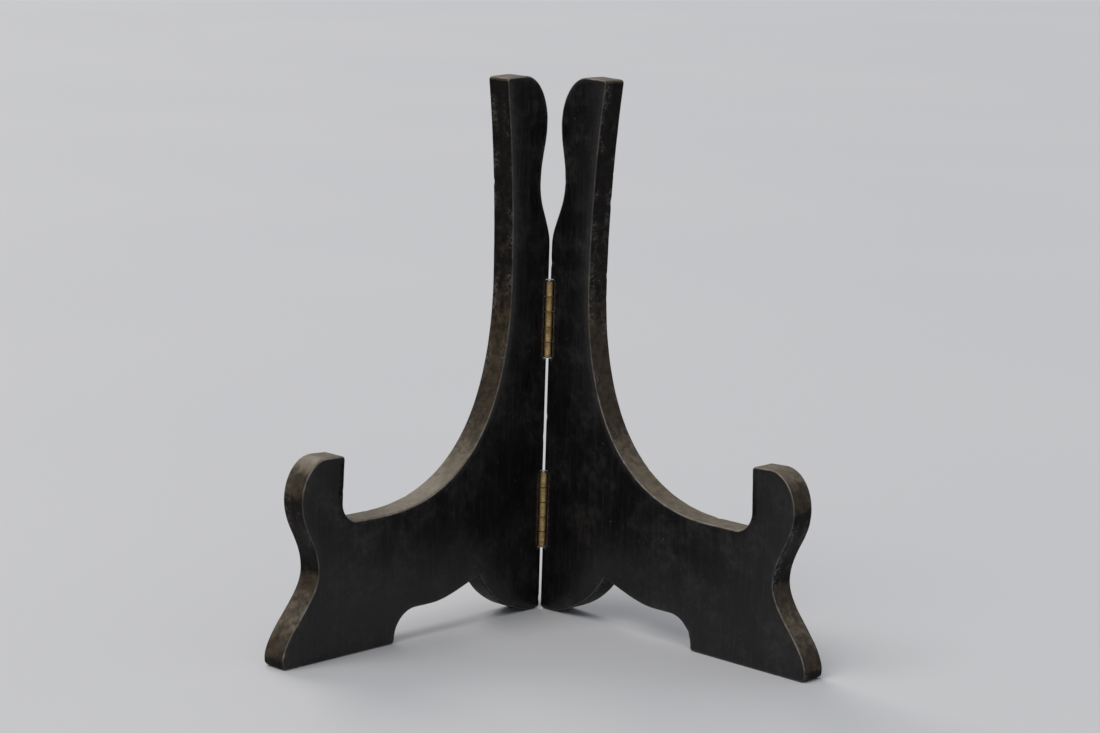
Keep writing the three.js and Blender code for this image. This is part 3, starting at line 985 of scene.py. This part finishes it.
def add_floor():
    bm = bmesh.new()
    bmesh.ops.create_grid(bm, x_segments=FLOOR_SEGMENTS, y_segments=FLOOR_SEGMENTS, size=FLOOR_HALF)
    mesh = bpy.data.meshes.new("floor")
    bm.to_mesh(mesh)
    bm.free()
    mesh.materials.append(pale_floor())
    floor = bpy.data.objects.new("floor", mesh)
    bpy.context.scene.collection.objects.link(floor)


def add_sun(name, from_direction, softness, power, tint):
    """A distant soft light, as wide in the sky as softness degrees."""
    light = bpy.data.lights.new(name, "SUN")
    light.angle = math.radians(softness)
    light.energy = power
    light.color = tint
    holder = bpy.data.objects.new(name, light)
    bpy.context.scene.collection.objects.link(holder)
    holder.rotation_euler = (-Vector(from_direction)).to_track_quat("-Z", "Y").to_euler()


def add_light():
    """Two soft suns and a cool world. The camera sees the world in the lit floor's colour."""
    add_sun("overhead", (-0.45, -0.35, 1), softness=45, power=1.5, tint=(1.0, 0.97, 0.92))
    add_sun("back_sheen", (-0.5, 1, 0.75), softness=35, power=0.9, tint=(1.0, 0.96, 0.90))
    world = bpy.data.worlds.new("studio")
    world.use_nodes = True
    tree = world.node_tree
    seen = add_node(tree, "ShaderNodeLightPath", {}).outputs["Is Camera Ray"]
    shown = mixed(tree, seen, colour(0.30, 0.315, 0.35), colour(0.567, 0.572, 0.590))
    connect(tree, shown, tree.nodes["Background"].inputs["Color"])
    bpy.context.scene.world = world


CAMERA_PLACE = Vector((-23.5, -908, 253)) * MM  # from the hinge axis at floor level
CAMERA_ROLL = math.radians(1.8)
CAMERA_LENS = 92  # focal length
NEAREST_SEEN = 10 * MM


def add_camera():
    camera = bpy.data.objects.new("camera", bpy.data.cameras.new("camera"))
    bpy.context.scene.collection.objects.link(camera)
    camera.location = HINGE_AXIS + CAMERA_PLACE
    low, high = (Vector(corner) for corner in CAD_BOX)
    aim = ((low + high) / 2 - camera.location).to_track_quat("-Z", "Y")
    camera.rotation_mode = "QUATERNION"
    camera.rotation_quaternion = aim @ Quaternion((0, 0, 1), CAMERA_ROLL)
    camera.data.lens = CAMERA_LENS
    camera.data.clip_start = NEAREST_SEEN
    bpy.context.scene.camera = camera
    bpy.context.scene.view_settings.view_transform = "Standard"


add_stand()
add_floor()
add_light()
add_camera()
